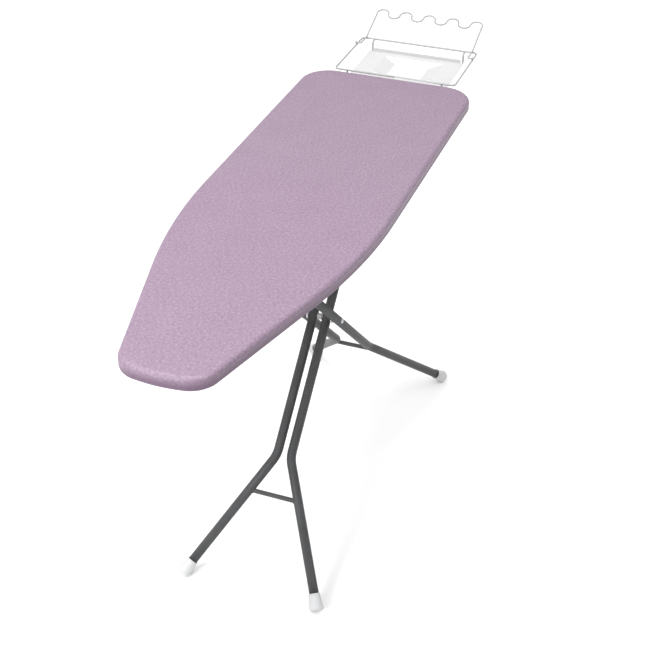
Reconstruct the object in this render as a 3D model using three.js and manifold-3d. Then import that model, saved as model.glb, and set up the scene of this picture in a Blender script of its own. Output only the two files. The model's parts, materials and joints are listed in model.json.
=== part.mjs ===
// Folding ironing board with a wire iron rest and a hanger rack.
// Millimetres, +Z up. The nose points to -X, the iron rest to +X, the feet stand on z = 0,
// and the origin is on the floor under the middle of the whole board. Left is +Y.
import * as THREE from 'three';
import Module from 'manifold-3d';
import { mergeVertices } from 'three/addons/utils/BufferGeometryUtils.js';

const wasm = await Module();
wasm.setup();

// ---- driving dimensions -------------------------------------------------------------------

const GAP = 0.3;                    // clearance kept between touching pieces

// board, seen from above: corner x, half width and corner radius from nose to tail
const NOSE_TIP = { x: -760.6, y: 0, r: 260 };
const NOSE_CORNER = { x: -751.4, y: 78.4, r: 53.5 };
const SHOULDER = { x: -311.1, y: 197.1, r: 1209 };
const TAIL_CORNER = { x: 448.8, y: 199.3, r: 67.8 };
const BOARD_TOP = 795;
const BOARD_BOTTOM = 768;
const COVER_SKIN = 1.5;
const HEM_WIDTH = 30;               // fabric turned in under the rim
const FOAM_THICKNESS = 9;
const PANEL_SHEET = 0.8;

// scissor legs: both frames are equal, so the sliding axle stays level with the hinge
const LEG_ANGLE = THREE.MathUtils.degToRad(44.6);
const PIVOT_X = -25.4;
const ARM_ABOVE_PIVOT = 453.3;
const ARM_BELOW_PIVOT = 616.2;
const TUBE_R = 10;
const TUBE_WALL = 1.2;
const FRONT_LEGS = {
  name: 'front', side: -1, halfGap: 15.5, bendAt: 766.5, halfSpread: 158.9, rodAt: 852, rodR: 5 };
const REAR_LEGS = {
  name: 'rear', side: 1, halfGap: 39.8, bendAt: 765.3, halfSpread: 184.1, rodAt: 809, rodR: 5 };
const LEG_BEND_R = 70;
const TUBE_OVERRUN = 11;            // tube past the centre of the pin through its top end
const FOOT = { endR: 15, rimR: 6, topR: 11.6, length: 35, socketFloor: 6, worn: 0.8 };
const PIN_R = 4;
const PIN_CLEARANCE = 0.4;
const SLEEVE_R = 7;

// rail and hinge bracket under the board
const RAIL = { x0: -631, x1: -246, halfWidth: 57, sheet: 1.5, depth: 29 };
const SLOT = { x0: -614.5, x1: -259.3, halfHeight: 5.5 };
const NOTCH_R = 5.6;
const NOTCH_X = [-524, -485, -445, -397, -348.2, -285];
const BRACKET = { halfLength: 28, halfWidth: 28.8, sheet: 1.6, depth: 26 };
const AXLE_R = 5;
const AXLE_HALF = 61.5;
const BRACE_X = [-560, -300, 297.4, 345];
const BRACE_HALF_LENGTH = 16;
const BRACE_SHORT_OF_EDGE = 22;

// height lock
const LOCK_Y = -72;
const LOCK_Z = BOARD_BOTTOM - 12;
const LOCK_ROD_R = 4;
const LOCK_X = { front: -560, rear: -240 };
const LEVER_END_Y = -92;
const GRIP = { outerHalf: 24, innerHalf: 17, innerY: -83, past: 6, below: 11, above: 4.5 };
const COMB = { x0: -500, x1: -262, teethY: -62.5, rootY: -66, toothWidth: 10, pitch: 16.4, sheet: 2 };
const CLIP_X = [-536, -251];
const SPRING = { x: -526, turns: 5, pitch: 3.4, wire: 0.9, coilR: 6.2 };

// iron rest and hanger rack
const REST_LOOP = { x0: 463.1, x1: 665.6, halfWidth: 145, z: BOARD_BOTTOM + 22, r: 2.25, bend: 10 };
const SUPPORT = { x0: 322, x1: 651.6, y: 114.5, z: BOARD_BOTTOM - 3.5, r: 2.5, bend: 8 };
const PLATE = { x0: 466.6, x1: 644.6, halfWidth: 119, z: BOARD_BOTTOM + 0.6, sheet: 1.2, corner: 8, lip: 8 };
const WINDOW = { x0: 519.6, x1: 625.6, halfWidth: 72, corner: 6 };
const TAB = { reach: 33, slope: 18, rootMargin: 6, taper: 14 };
const RACK = {
  pivotX: 617.6, y: 134, wire: 2, restX: 665.6, slope: 22, topX: 744.6, waveR: 13.4, crests: 5, pitch: 60 };
const JOURNAL_END_Y = 149;
const EYE_HALF_LENGTH = 3;

const HINGE_Z = (ARM_ABOVE_PIVOT + ARM_BELOW_PIVOT) * Math.sin(LEG_ANGLE);
const HINGE_X = PIVOT_X + ARM_ABOVE_PIVOT * Math.cos(LEG_ANGLE);
const AXLE_X = PIVOT_X - ARM_ABOVE_PIVOT * Math.cos(LEG_ANGLE);
const LEG_LENGTH = ARM_ABOVE_PIVOT + ARM_BELOW_PIVOT;
const PANEL_TOP = BOARD_TOP - COVER_SKIN - FOAM_THICKNESS - 2 * GAP;
const UNDERSIDE = BOARD_BOTTOM + COVER_SKIN;       // level on which the rail and bracket are welded

// ---- colours ------------------------------------------------------------------------------

const COLOURS = {
  cotton: { color: 0xb6a9cc, roughness: 0.9, metalness: 0 },
  foam: { color: 0xe8e2d0, roughness: 1, metalness: 0 },
  greyCoat: { color: 0x4a4d52, roughness: 0.45, metalness: 0.3 },
  lightCoat: { color: 0xc9cccf, roughness: 0.4, metalness: 0.3 },
  zinc: { color: 0xa9adb0, roughness: 0.35, metalness: 0.9 },
  palePlastic: { color: 0xdfe2e4, roughness: 0.5, metalness: 0 },
  darkPlastic: { color: 0x3a3c40, roughness: 0.55, metalness: 0 },
};

const board = new THREE.Group();

function addPiece(name, geometry, colour) {
  const mesh = new THREE.Mesh(geometry, new THREE.MeshStandardMaterial(COLOURS[colour]));
  mesh.name = name;
  board.add(mesh);
}

// ---- solids -------------------------------------------------------------------------------

function toSolid(geometry) {
  const bare = geometry.index ? geometry.toNonIndexed() : geometry.clone();
  bare.deleteAttribute('normal');
  bare.deleteAttribute('uv');
  const welded = mergeVertices(bare, 1e-3);
  const vertProperties = new Float32Array(welded.attributes.position.array);
  const triVerts = new Uint32Array(welded.index.array);
  return new wasm.Manifold(new wasm.Mesh({ numProp: 3, vertProperties, triVerts }));
}

function toGeometry(solid) {
  const mesh = solid.getMesh();
  const geometry = new THREE.BufferGeometry();
  geometry.setAttribute('position', new THREE.BufferAttribute(new Float32Array(mesh.vertProperties), 3));
  geometry.setIndex(Array.from(mesh.triVerts));
  return geometry;
}

function cut(body, ...tools) {
  return toGeometry(tools.reduce((solid, tool) => solid.subtract(toSolid(tool)), toSolid(body)));
}

function join(...bodies) {
  const [first, ...others] = bodies.map(toSolid);
  return toGeometry(others.reduce((solid, other) => solid.add(other), first));
}

function box(x0, x1, y0, y1, z0, z1) {
  const geometry = new THREE.BoxGeometry(x1 - x0, y1 - y0, z1 - z0);
  return geometry.translate((x0 + x1) / 2, (y0 + y1) / 2, (z0 + z1) / 2);
}

// turn that carries the Y axis, on which cylinders and lathes are made, onto a direction
function turnTo(direction) {
  return new THREE.Quaternion().setFromUnitVectors(new THREE.Vector3(0, 1, 0), direction.clone().normalize());
}

// round bar from one point to another
function bar(from, to, radius, sides = 16) {
  const along = new THREE.Vector3().subVectors(to, from);
  const geometry = new THREE.CylinderGeometry(radius, radius, along.length(), sides);
  return geometry.applyQuaternion(turnTo(along)).translate(
    (from.x + to.x) / 2, (from.y + to.y) / 2, (from.z + to.z) / 2);
}

function crossBar(x, z, y0, y1, radius, sides = 16) {
  return bar(new THREE.Vector3(x, y0, z), new THREE.Vector3(x, y1, z), radius, sides);
}

// slab of a flat outline between two heights
function slab(outline, z0, z1, holes = []) {
  const shape = new THREE.Shape(outline);
  shape.holes = holes.map((hole) => new THREE.Path(hole));
  return new THREE.ExtrudeGeometry(shape, { depth: z1 - z0, bevelEnabled: false }).translate(0, 0, z0);
}

// round arc at one corner of an outline, drawn in towards the corner's centre by inset
function cornerArc(before, corner, after, radius, inset, steps) {
  const toBefore = new THREE.Vector2(before.x - corner.x, before.y - corner.y).normalize();
  const toAfter = new THREE.Vector2(after.x - corner.x, after.y - corner.y).normalize();
  const halfAngle = Math.acos(toBefore.dot(toAfter)) / 2;
  const middle = toBefore.clone().add(toAfter).normalize();
  const centre = middle.multiplyScalar(radius / Math.sin(halfAngle)).add(corner);
  const start = Math.atan2(-toBefore.y, -toBefore.x);
  const turn = Math.PI - 2 * halfAngle;
  const side = Math.sign(toAfter.x * toBefore.y - toAfter.y * toBefore.x);
  const first = start - side * Math.PI / 2;
  return Array.from({ length: steps + 1 }, (_, i) => {
    const angle = first + side * turn * (i / steps);
    return new THREE.Vector2(Math.cos(angle), Math.sin(angle)).multiplyScalar(radius - inset).add(centre);
  });
}

function roundedOutline(corners, inset, steps) {
  return corners.flatMap((corner, i) => {
    const before = corners[(i + corners.length - 1) % corners.length];
    const after = corners[(i + 1) % corners.length];
    return cornerArc(before, corner, after, corner.r, inset, steps);
  });
}

function roundedRectangle(x0, x1, halfWidth, r, steps) {
  const corners = [[x0, -halfWidth], [x1, -halfWidth], [x1, halfWidth], [x0, halfWidth]];
  return roundedOutline(corners.map(([x, y]) => ({ x, y, r })), 0, steps);
}

// a bent wire or tube: straight runs joined by round bends
class BentRun extends THREE.Curve {
  constructor(stations) {
    super();
    this.stations = stations;
  }

  getPoint(t) {
    const place = t * (this.stations.length - 1);
    const i = Math.min(Math.floor(place), this.stations.length - 2);
    return this.stations[i].clone().lerp(this.stations[i + 1], place - i);
  }

  // stations are taken as they stand, so bends get many and straight runs get few
  getPointAt(u) {
    return this.getPoint(u);
  }

  getTangentAt(u) {
    const i = Math.round(u * (this.stations.length - 1));
    const from = this.stations[Math.max(i - 1, 0)];
    const to = this.stations[Math.min(i + 1, this.stations.length - 1)];
    return new THREE.Vector3().subVectors(to, from).normalize();
  }
}

function bendStations(corners, radius, steps) {
  const stations = [corners[0].clone()];
  for (let i = 1; i < corners.length - 1; i += 1) {
    const toBefore = new THREE.Vector3().subVectors(corners[i - 1], corners[i]).normalize();
    const toAfter = new THREE.Vector3().subVectors(corners[i + 1], corners[i]).normalize();
    const halfAngle = toBefore.angleTo(toAfter) / 2;
    const tangent = radius / Math.tan(halfAngle);
    const middle = toBefore.clone().add(toAfter).normalize();
    const centre = middle.multiplyScalar(radius / Math.sin(halfAngle)).add(corners[i]);
    const first = toBefore.clone().multiplyScalar(tangent).add(corners[i]).sub(centre);
    const axis = new THREE.Vector3().crossVectors(toAfter, toBefore).normalize();
    for (let step = 0; step <= steps; step += 1) {
      const angle = (Math.PI - 2 * halfAngle) * (step / steps);
      stations.push(first.clone().applyAxisAngle(axis, angle).add(centre));
    }
  }
  stations.push(corners[corners.length - 1].clone());
  return stations;
}

function ring(radius, sides) {
  return Array.from({ length: sides }, (_, i) => {
    const angle = (2 * Math.PI * i) / sides;
    return new THREE.Vector2(Math.cos(angle), Math.sin(angle)).multiplyScalar(radius);
  });
}

function wire(stations, radius, sides = 8, bore = 0) {
  const section = new THREE.Shape(ring(radius, sides));
  if (bore > 0) section.holes = [new THREE.Path(ring(bore, sides))];
  const extrudePath = new BentRun(stations);
  return new THREE.ExtrudeGeometry(section, { steps: stations.length - 1, extrudePath, bevelEnabled: false });
}

// endless level wire that follows a closed outline
function wireLoop(outline, z, radius, sides = 8) {
  const count = outline.length;
  const position = [];
  const index = [];
  outline.forEach((point, i) => {
    const along = outline[(i + 1) % count].clone().sub(outline[(i + count - 1) % count]).normalize();
    for (let k = 0; k < sides; k += 1) {
      const angle = (2 * Math.PI * k) / sides;
      const out = radius * Math.cos(angle);
      position.push(point.x + along.y * out, point.y - along.x * out, z + radius * Math.sin(angle));
      const here = i * sides + k;
      const beside = i * sides + ((k + 1) % sides);
      const next = ((i + 1) % count) * sides + k;
      const nextBeside = ((i + 1) % count) * sides + ((k + 1) % sides);
      index.push(here, next, nextBeside, here, nextBeside, beside);
    }
  });
  const geometry = new THREE.BufferGeometry();
  geometry.setAttribute('position', new THREE.Float32BufferAttribute(position, 3));
  return geometry.setIndex(index);
}

// turned piece about a line through a point; profile is [radius, distance along the line]
function turned(profile, base, along, sides = 20) {
  const points = profile.map(([radius, height]) => new THREE.Vector2(radius, height));
  const body = new THREE.LatheGeometry(points, sides);
  return body.applyQuaternion(turnTo(along)).translate(base.x, base.y, base.z);
}

// plain bush on a line along Y
function bush(x, z, y0, y1, bore, radius, sides = 16) {
  const profile = [[bore, y0], [radius, y0], [radius, y1], [bore, y1], [bore, y0]];
  return turned(profile, new THREE.Vector3(x, 0, z), new THREE.Vector3(0, 1, 0), sides);
}

// ---- board: cover, foam, pressed panel -------------------------------------------------------

function mirrored({ x, y, r }) {
  return { x, y: -y, r };
}

const BOARD_CORNERS = [
  NOSE_TIP, mirrored(NOSE_CORNER), mirrored(SHOULDER), mirrored(TAIL_CORNER),
  TAIL_CORNER, SHOULDER, NOSE_CORNER,
];

function boardOutline(inset) {
  return roundedOutline(BOARD_CORNERS, inset, 6);
}

addPiece('cover', cut(
  slab(boardOutline(0), BOARD_BOTTOM, BOARD_TOP),
  slab(boardOutline(COVER_SKIN), BOARD_BOTTOM + COVER_SKIN, BOARD_TOP - COVER_SKIN),
  slab(boardOutline(HEM_WIDTH), BOARD_BOTTOM - 1, BOARD_BOTTOM + COVER_SKIN + 1),
), 'cotton');

const FOAM_INSET = COVER_SKIN + GAP;
addPiece('foam_pad', slab(
  boardOutline(FOAM_INSET), PANEL_TOP + GAP, PANEL_TOP + GAP + FOAM_THICKNESS), 'foam');

const PANEL_BOTTOM = UNDERSIDE + GAP;
addPiece('board_panel', cut(
  slab(boardOutline(FOAM_INSET), PANEL_BOTTOM, PANEL_TOP),
  slab(boardOutline(FOAM_INSET + PANEL_SHEET), PANEL_BOTTOM - 1, PANEL_TOP - PANEL_SHEET),
), 'greyCoat');

// hat-section braces across the tray; each is as long as the tray is wide where it sits
function trayHalfWidth(x) {
  const rise = (SHOULDER.y - NOSE_CORNER.y) / (SHOULDER.x - NOSE_CORNER.x);
  const width = x < SHOULDER.x ? NOSE_CORNER.y + (x - NOSE_CORNER.x) * rise : SHOULDER.y;
  return width - BRACE_SHORT_OF_EDGE;
}

['nose', 'front', 'rear', 'tail'].forEach((name, i) => {
  const x = BRACE_X[i];
  const half = trayHalfWidth(x - BRACE_HALF_LENGTH);
  const top = PANEL_TOP - PANEL_SHEET - GAP;
  const channel = box(x - 10, x + 10, -half - 1, half + 1, UNDERSIDE + GAP + 1.2, top + 1);
  const outer = box(x - BRACE_HALF_LENGTH, x + BRACE_HALF_LENGTH, -half, half, UNDERSIDE + GAP, top);
  addPiece(`cross_brace_${name}`, cut(outer, channel), 'greyCoat');
});

// ---- rail and hinge bracket ----------------------------------------------------------------

function channelUnder(x0, x1, halfWidth, sheet, depth) {
  const top = UNDERSIDE;
  return cut(
    box(x0, x1, -halfWidth, halfWidth, top - sheet - depth, top),
    box(x0 - 1, x1 + 1, -halfWidth + sheet, halfWidth - sheet, top - sheet - depth - 1, top - sheet),
  );
}

const slot = box(SLOT.x0, SLOT.x1, -RAIL.halfWidth - 1, RAIL.halfWidth + 1,
  HINGE_Z - SLOT.halfHeight, HINGE_Z + SLOT.halfHeight);
const notches = NOTCH_X.map((x) => crossBar(
  x, HINGE_Z + SLOT.halfHeight - 1, -RAIL.halfWidth - 1, RAIL.halfWidth + 1, NOTCH_R));
addPiece('height_rail', cut(
  channelUnder(RAIL.x0, RAIL.x1, RAIL.halfWidth, RAIL.sheet, RAIL.depth), slot, ...notches), 'greyCoat');

const hingeHole = crossBar(
  HINGE_X, HINGE_Z, -BRACKET.halfWidth - 1, BRACKET.halfWidth + 1, PIN_R + PIN_CLEARANCE);
addPiece('leg_hinge_bracket', cut(
  channelUnder(HINGE_X - BRACKET.halfLength, HINGE_X + BRACKET.halfLength,
    BRACKET.halfWidth, BRACKET.sheet, BRACKET.depth), hingeHole), 'greyCoat');

// ---- scissor legs --------------------------------------------------------------------------

// a point of a leg frame: distance down the frame from its top pin, and sideways
function legPoint(frame, down, y) {
  const topX = frame.side < 0 ? HINGE_X : AXLE_X;
  return new THREE.Vector3(
    topX + frame.side * Math.cos(LEG_ANGLE) * down, y, HINGE_Z - Math.sin(LEG_ANGLE) * down);
}

function footDirection(frame, hand) {
  const bend = legPoint(frame, frame.bendAt, hand * frame.halfGap);
  return legPoint(frame, LEG_LENGTH, hand * frame.halfSpread).sub(bend).normalize();
}

// middle of a foot cap's end face, on the tube's own line; the cap stands on its rounded rim
function footEnd(frame, hand) {
  const direction = footDirection(frame, hand);
  const tilt = Math.hypot(direction.x, direction.y);
  const height = FOOT.rimR + (FOOT.endR - FOOT.rimR) * tilt + FOOT.rimR * direction.z - FOOT.worn;
  const onFloor = legPoint(frame, LEG_LENGTH, hand * frame.halfSpread);
  return onFloor.addScaledVector(direction, height / direction.z);
}

function legTubeStations(frame, hand) {
  const end = footEnd(frame, hand).addScaledVector(footDirection(frame, hand), -FOOT.socketFloor - GAP);
  const corners = [
    legPoint(frame, -TUBE_OVERRUN, hand * frame.halfGap),
    legPoint(frame, frame.bendAt, hand * frame.halfGap),
    end,
  ];
  return bendStations(corners, LEG_BEND_R, 5);
}

function legTube(frame, hand, topPinR) {
  const body = wire(legTubeStations(frame, hand), TUBE_R, 16, TUBE_R - TUBE_WALL);
  const y = hand * frame.halfGap;
  const top = legPoint(frame, 0, y);
  const pivot = legPoint(frame, ARM_ABOVE_PIVOT, y);
  return cut(
    body,
    crossBar(top.x, top.z, y - TUBE_R - 1, y + TUBE_R + 1, topPinR + GAP),
    crossBar(pivot.x, pivot.z, y - TUBE_R - 1, y + TUBE_R + 1, PIN_R + PIN_CLEARANCE),
  );
}

// spreader welded between the two tubes, its ends cut to sit on them
function spreaderRod(frame) {
  const centre = legPoint(frame, frame.rodAt, 0);
  const reach = frame.halfGap + (frame.rodAt - frame.bendAt) * 0.45;
  const clearOf = [1, -1].map((hand) => wire(legTubeStations(frame, hand), TUBE_R + GAP, 16));
  return cut(crossBar(centre.x, centre.z, -reach, reach, frame.rodR), ...clearOf);
}

function footCap(frame, hand) {
  const up = footDirection(frame, hand).negate();
  const end = footEnd(frame, hand);
  const bore = TUBE_R + GAP;
  const profile = [[0, 0]];
  for (let i = 0; i <= 4; i += 1) {
    const angle = (Math.PI / 2) * (i / 4);
    profile.push([
      FOOT.endR - FOOT.rimR + FOOT.rimR * Math.sin(angle), FOOT.rimR - FOOT.rimR * Math.cos(angle)]);
  }
  profile.push([FOOT.topR + 0.3, FOOT.length - 2], [FOOT.topR, FOOT.length]);
  profile.push([bore, FOOT.length], [bore, FOOT.socketFloor], [0, FOOT.socketFloor]);
  const floor = box(end.x - 60, end.x + 60, end.y - 60, end.y + 60, -60, 0);
  return cut(turned(profile, end, up, 24), floor);
}

[FRONT_LEGS, REAR_LEGS].forEach((frame) => {
  [['left', 1], ['right', -1]].forEach(([sideName, hand]) => {
    const topPinR = frame === FRONT_LEGS ? PIN_R : AXLE_R;
    addPiece(`${frame.name}_leg_tube_${sideName}`, legTube(frame, hand, topPinR), 'greyCoat');
    addPiece(`${frame.name}_foot_${sideName}`, footCap(frame, hand), 'palePlastic');
  });
  addPiece(`${frame.name}_cross_rod`, spreaderRod(frame), 'greyCoat');
});

// pins, sleeves and washers
function headedPin(x, z, halfLength, radius, headR, headHeight) {
  const crown = -halfLength - headHeight;
  const profile = [
    [0, crown], [headR * 0.6, crown], [headR, -halfLength - headHeight * 0.4],
    [headR, -halfLength], [radius, -halfLength], [radius, halfLength], [0, halfLength],
  ];
  return turned(profile, new THREE.Vector3(x, 0, z), new THREE.Vector3(0, 1, 0));
}

const PIVOT_Z = ARM_BELOW_PIVOT * Math.sin(LEG_ANGLE);
const SLEEVE_HALF = FRONT_LEGS.halfGap - TUBE_R - GAP;
const PIVOT_HALF = REAR_LEGS.halfGap + TUBE_R + GAP;
const SLEEVE_BORE = PIN_R + PIN_CLEARANCE;
const WASHER_IN = FRONT_LEGS.halfGap + TUBE_R + GAP;
const WASHER_OUT = REAR_LEGS.halfGap - TUBE_R - GAP;

addPiece('leg_hinge_pin', headedPin(HINGE_X, HINGE_Z, BRACKET.halfWidth + GAP, PIN_R, 6.5, 3), 'zinc');
addPiece('leg_hinge_sleeve', bush(
  HINGE_X, HINGE_Z, -SLEEVE_HALF, SLEEVE_HALF, SLEEVE_BORE, SLEEVE_R), 'lightCoat');
addPiece('pivot_sleeve', bush(
  PIVOT_X, PIVOT_Z, -SLEEVE_HALF, SLEEVE_HALF, SLEEVE_BORE, SLEEVE_R), 'lightCoat');
addPiece('pivot_bolt', turned([
  [0, -PIVOT_HALF - 4], [3.6, -PIVOT_HALF - 3.6], [5.6, -PIVOT_HALF - 1.6], [5.8, -PIVOT_HALF],
  [PIN_R, -PIVOT_HALF], [PIN_R, PIVOT_HALF + 7], [0, PIVOT_HALF + 7],
], new THREE.Vector3(PIVOT_X, 0, PIVOT_Z), new THREE.Vector3(0, 1, 0)), 'zinc');
addPiece('pivot_nut', turned([
  [PIN_R + GAP, PIVOT_HALF], [6.5, PIVOT_HALF], [6.5, PIVOT_HALF + 6], [4.5, PIVOT_HALF + 8.6],
  [0, PIVOT_HALF + 9.4], [0, PIVOT_HALF + 7.4], [PIN_R + GAP, PIVOT_HALF + 7.4], [PIN_R + GAP, PIVOT_HALF],
], new THREE.Vector3(PIVOT_X, 0, PIVOT_Z), new THREE.Vector3(0, 1, 0)), 'zinc');
[['left', WASHER_IN, WASHER_OUT], ['right', -WASHER_OUT, -WASHER_IN]].forEach(([sideName, y0, y1]) => {
  addPiece(`pivot_washer_${sideName}`, bush(PIVOT_X, PIVOT_Z, y0, y1, SLEEVE_BORE, 9), 'palePlastic');
});

// sliding axle and the caps that keep it in the rail
addPiece('slider_axle', crossBar(AXLE_X, HINGE_Z, -AXLE_HALF, AXLE_HALF, AXLE_R, 20), 'zinc');
[['left', 1], ['right', -1]].forEach(([sideName, hand]) => {
  const inner = hand * (RAIL.halfWidth + 0.6);
  const outer = hand * (AXLE_HALF - 0.9);
  addPiece(`slider_cap_${sideName}`, bush(
    AXLE_X, HINGE_Z, Math.min(inner, outer), Math.max(inner, outer), AXLE_R + GAP, 8.5), 'darkPlastic');
});

// ---- height lock ---------------------------------------------------------------------------

const lockStations = bendStations([
  new THREE.Vector3(LOCK_X.rear, LOCK_Y, LOCK_Z),
  new THREE.Vector3(LOCK_X.front, LOCK_Y, LOCK_Z),
  new THREE.Vector3(LOCK_X.front, LEVER_END_Y, LOCK_Z - 4),
], 9, 5);
addPiece('lock_rod', wire(lockStations, LOCK_ROD_R, 12), 'zinc');

function combOutline() {
  const back = LOCK_Y + LOCK_ROD_R + GAP;
  const outline = [new THREE.Vector2(COMB.x1, back), new THREE.Vector2(COMB.x1, COMB.teethY)];
  for (let x = COMB.x1 - COMB.toothWidth; x > COMB.x0 + COMB.pitch; x -= COMB.pitch) {
    const next = x - COMB.pitch + COMB.toothWidth;
    outline.push(new THREE.Vector2(x, COMB.teethY), new THREE.Vector2(x, COMB.rootY));
    outline.push(new THREE.Vector2(next, COMB.rootY), new THREE.Vector2(next, COMB.teethY));
  }
  outline.push(new THREE.Vector2(COMB.x0, COMB.teethY), new THREE.Vector2(COMB.x0, back));
  return outline;
}
addPiece('lock_comb', slab(combOutline(), LOCK_Z - COMB.sheet / 2, LOCK_Z + COMB.sheet / 2), 'zinc');

const gripOutline = roundedOutline([
  { x: LOCK_X.front - GRIP.outerHalf, y: LEVER_END_Y - GRIP.past, r: 6 },
  { x: LOCK_X.front + GRIP.outerHalf, y: LEVER_END_Y - GRIP.past, r: 6 },
  { x: LOCK_X.front + GRIP.innerHalf, y: GRIP.innerY, r: 4 },
  { x: LOCK_X.front - GRIP.innerHalf, y: GRIP.innerY, r: 4 },
], 0, 4);
addPiece('lever_grip', cut(
  slab(gripOutline, LOCK_Z - GRIP.below, LOCK_Z + GRIP.above),
  wire(lockStations, LOCK_ROD_R + GAP, 12),
), 'darkPlastic');

// saddle clips that hang the rod from the board
CLIP_X.forEach((x, i) => {
  const strap = cut(
    box(x - 5, x + 5, LOCK_Y - 6.5, LOCK_Y + 6.2, LOCK_Z - 6.5, UNDERSIDE + 12),
    bar(new THREE.Vector3(x - 6, LOCK_Y, LOCK_Z), new THREE.Vector3(x + 6, LOCK_Y, LOCK_Z), LOCK_ROD_R + 0.5),
  );
  addPiece(`lock_rod_clip_${i === 0 ? 'front' : 'rear'}`, strap, 'darkPlastic');
});

const springStations = Array.from({ length: SPRING.turns * 10 + 1 }, (_, i) => {
  const angle = (2 * Math.PI * i) / 10;
  const x = SPRING.x + SPRING.pitch * (i / 10);
  return new THREE.Vector3(
    x, LOCK_Y + SPRING.coilR * Math.cos(angle), LOCK_Z + SPRING.coilR * Math.sin(angle));
});
addPiece('lock_spring', wire(springStations, SPRING.wire, 6), 'zinc');

// ---- iron rest -----------------------------------------------------------------------------

const loopOutline = roundedRectangle(REST_LOOP.x0, REST_LOOP.x1, REST_LOOP.halfWidth, REST_LOOP.bend, 4);
addPiece('rest_frame', wireLoop(loopOutline, REST_LOOP.z, REST_LOOP.r), 'lightCoat');

const plateEdge = roundedOutline([
  { x: PLATE.x0, y: -PLATE.halfWidth, r: 4 }, { x: PLATE.x1, y: -PLATE.halfWidth, r: PLATE.corner },
  { x: PLATE.x1, y: PLATE.halfWidth, r: PLATE.corner }, { x: PLATE.x0, y: PLATE.halfWidth, r: 4 },
], 0, 5);
const windowEdge = roundedRectangle(WINDOW.x0, WINDOW.x1, WINDOW.halfWidth, WINDOW.corner, 3);

function windowTab(hand) {
  const from = WINDOW.x0 + TAB.rootMargin;
  const to = WINDOW.x1 - TAB.rootMargin;
  const flat = [[from, 0], [to, 0], [to - TAB.taper, TAB.reach], [from + TAB.taper, TAB.reach]];
  const tab = slab(flat.map(([x, y]) => new THREE.Vector2(x, y)), 0, PLATE.sheet);
  tab.translate(0, -0.6, -PLATE.sheet).rotateX(-THREE.MathUtils.degToRad(TAB.slope));
  if (hand > 0) tab.rotateZ(Math.PI).translate(WINDOW.x0 + WINDOW.x1, 0, 0);
  return tab.translate(0, hand * WINDOW.halfWidth, PLATE.z);
}
const lipHalf = PLATE.halfWidth - PLATE.corner;
addPiece('rest_plate', join(
  slab(plateEdge, PLATE.z - PLATE.sheet, PLATE.z, [windowEdge]),
  windowTab(-1), windowTab(1),
  box(PLATE.x1 - PLATE.sheet, PLATE.x1, -lipHalf, lipHalf, PLATE.z - PLATE.sheet / 2, PLATE.z + PLATE.lip),
), 'lightCoat');

// bar along X, used to hollow out whatever a straight wire passes through
function alongX(x0, x1, y, z, radius, sides = 16) {
  return bar(new THREE.Vector3(x0, y, z), new THREE.Vector3(x1, y, z), radius, sides);
}

function loopCrossBar(x) {
  return crossBar(x, REST_LOOP.z, -REST_LOOP.halfWidth, REST_LOOP.halfWidth, REST_LOOP.r + GAP);
}

// two side wires under the loop, each with a post, a clamp to the tail brace and an eye for the rack
const RACK_PIVOT_Z = REST_LOOP.z + REST_LOOP.r + GAP + RACK.wire + 0.4;
[['left', 1], ['right', -1]].forEach(([sideName, hand]) => {
  const y = hand * SUPPORT.y;
  const supportTop = REST_LOOP.z - 1;
  const support = wire(bendStations([
    new THREE.Vector3(SUPPORT.x0, y, SUPPORT.z),
    new THREE.Vector3(SUPPORT.x1, y, SUPPORT.z),
    new THREE.Vector3(SUPPORT.x1, y, supportTop),
    new THREE.Vector3(REST_LOOP.x1 + 0.5, y, supportTop),
  ], SUPPORT.bend, 4), SUPPORT.r, 10);
  addPiece(`rest_support_${sideName}`, cut(support, loopCrossBar(REST_LOOP.x1)), 'lightCoat');

  const post = bar(
    new THREE.Vector3(REST_LOOP.x0, y, SUPPORT.z), new THREE.Vector3(REST_LOOP.x0, y, REST_LOOP.z), 2, 8);
  const besidePost = alongX(REST_LOOP.x0 - 20, REST_LOOP.x0 + 20, y, SUPPORT.z, SUPPORT.r + GAP);
  addPiece(`rest_post_${sideName}`, cut(post, besidePost, loopCrossBar(REST_LOOP.x0)), 'lightCoat');

  const clampX = BRACE_X[3];
  const clamp = cut(
    box(clampX - 9, clampX + 9, y - 8, y + 8, SUPPORT.z - 5, UNDERSIDE),
    alongX(clampX - 30, clampX + 30, y, SUPPORT.z, SUPPORT.r + GAP),
  );
  addPiece(`rest_clamp_${sideName}`, clamp, 'darkPlastic');

  const eyeY = hand * REST_LOOP.halfWidth;
  const eye = bush(
    RACK.pivotX, RACK_PIVOT_Z, eyeY - EYE_HALF_LENGTH, eyeY + EYE_HALF_LENGTH,
    RACK.wire + 0.35, RACK.wire + 1.6, 14);
  const sideWire = alongX(REST_LOOP.x0, REST_LOOP.x1, eyeY, REST_LOOP.z, REST_LOOP.r + GAP);
  addPiece(`rack_eye_${sideName}`, cut(eye, sideWire), 'lightCoat');
});

// ---- hanger rack ---------------------------------------------------------------------------

const RACK_REST_Z = REST_LOOP.z + REST_LOOP.r + GAP + RACK.wire;
const RACK_SLOPE = THREE.MathUtils.degToRad(RACK.slope);

// point of the sloping part: distance up the slope from the rear bar, and sideways
function rackPoint(up, y) {
  return new THREE.Vector3(
    RACK.restX + up * Math.cos(RACK_SLOPE), y, RACK_REST_Z + up * Math.sin(RACK_SLOPE));
}

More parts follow.
